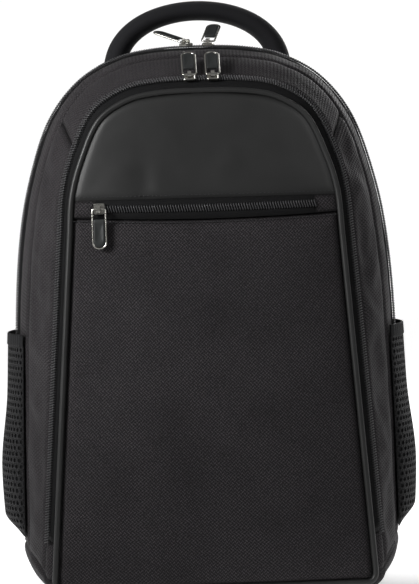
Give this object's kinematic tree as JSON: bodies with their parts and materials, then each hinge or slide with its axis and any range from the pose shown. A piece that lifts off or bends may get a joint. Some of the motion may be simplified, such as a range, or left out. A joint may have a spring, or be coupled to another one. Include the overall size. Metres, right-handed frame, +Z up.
{
  "type": "laptop backpack",
  "caption": "Soft laptop backpack with two zipped compartments, a flat front pocket, net side pockets, a grab handle and padded shoulder straps.",
  "frame": {"origin": "middle of the bag's whole length and width, straps included, at the height of its base", "axes": "+Z up, the front face towards -Y, the shoulder straps towards +Y, +X to the right seen from the front"},
  "size_m": [0.3484, 0.2284, 0.4827],
  "materials": {
    "fabric": "plain woven polyester",
    "leather": "smooth coated cloth",
    "tape": "ribbed zip tape",
    "mesh": "round-hole net",
    "padding": "smooth knit over foam",
    "webbing": "ribbed webbing",
    "metal": "satin nickel",
    "rubber": "satin",
    "plastic": "fine moulded grain"
  },
  "bodies": {
    "bag": {"back_panel": "padding", "main_gusset_rear": "fabric", "main_gusset_front": "fabric", "main_zip": "tape", "main_zip_tab_left": "fabric", "main_zip_tab_right": "fabric", "divider_panel": "fabric", "front_gusset_left": "fabric", "front_gusset_top": "fabric", "front_gusset_right": "fabric", "front_zip": "tape", "front_zip_tab_left": "fabric", "front_zip_tab_right": "fabric", "front_piping": "tape", "upper_panel": "leather", "pocket_zip": "tape", "pocket_zip_tab_left": "fabric", "pocket_zip_tab_right": "fabric", "lower_panel": "fabric", "bottom_panel": "fabric", "side_pocket_left": "mesh", "side_pocket_right": "mesh", "pocket_band_left": "webbing", "pocket_band_right": "webbing", "grab_handle": "padding", "handle_anchor_left": "webbing", "handle_anchor_right": "webbing", "strap_yoke": "padding", "shoulder_strap_left": "padding", "shoulder_strap_right": "padding", "strap_webbing_left": "webbing", "strap_webbing_right": "webbing", "strap_adjuster_left": "plastic", "strap_adjuster_right": "plastic", "strap_anchor_left": "webbing", "strap_anchor_right": "webbing", "slider_main_left": "metal", "slider_main_right": "metal", "slider_front_left": "metal", "slider_front_right": "metal", "slider_pocket": "metal"},
    "pull_main_left": {"pull_frame_main_left": "metal", "pull_insert_main_left": "rubber"},
    "pull_main_right": {"pull_frame_main_right": "metal", "pull_insert_main_right": "rubber"},
    "pull_front_left": {"pull_frame_front_left": "metal", "pull_insert_front_left": "rubber"},
    "pull_front_right": {"pull_frame_front_right": "metal", "pull_insert_front_right": "rubber"},
    "pull_pocket": {"pull_frame_pocket": "metal", "pull_insert_pocket": "rubber"}
  },
  "joints": [
    {"name": "pull_main_left_hinge", "type": "hinge", "parent": "bag", "child": "pull_main_left", "pos_m": [-0.01007, 0.00879, 0.45144], "axis": [0.6128, 0.7844, 0.0961], "range_deg": [-12, 125]},
    {"name": "pull_main_right_hinge", "type": "hinge", "parent": "bag", "child": "pull_main_right", "pos_m": [0.00856, 0.00879, 0.45146], "axis": [0.9775, -0.2078, -0.0361], "range_deg": [-16, 125]},
    {"name": "pull_front_left_hinge", "type": "hinge", "parent": "bag", "child": "pull_front_left", "pos_m": [-0.00953, -0.07543, 0.42308], "axis": [1, 0.001, 0.0085], "range_deg": [0, 150]},
    {"name": "pull_front_right_hinge", "type": "hinge", "parent": "bag", "child": "pull_front_right", "pos_m": [0.00953, -0.07543, 0.42308], "axis": [1, -0.001, -0.0085], "range_deg": [0, 150]},
    {"name": "pull_pocket_hinge", "type": "hinge", "parent": "bag", "child": "pull_pocket", "pos_m": [-0.08663, -0.09746, 0.31631], "axis": [-0.9898, 0.142, -0.0101], "range_deg": [0, 150]}
  ]
}
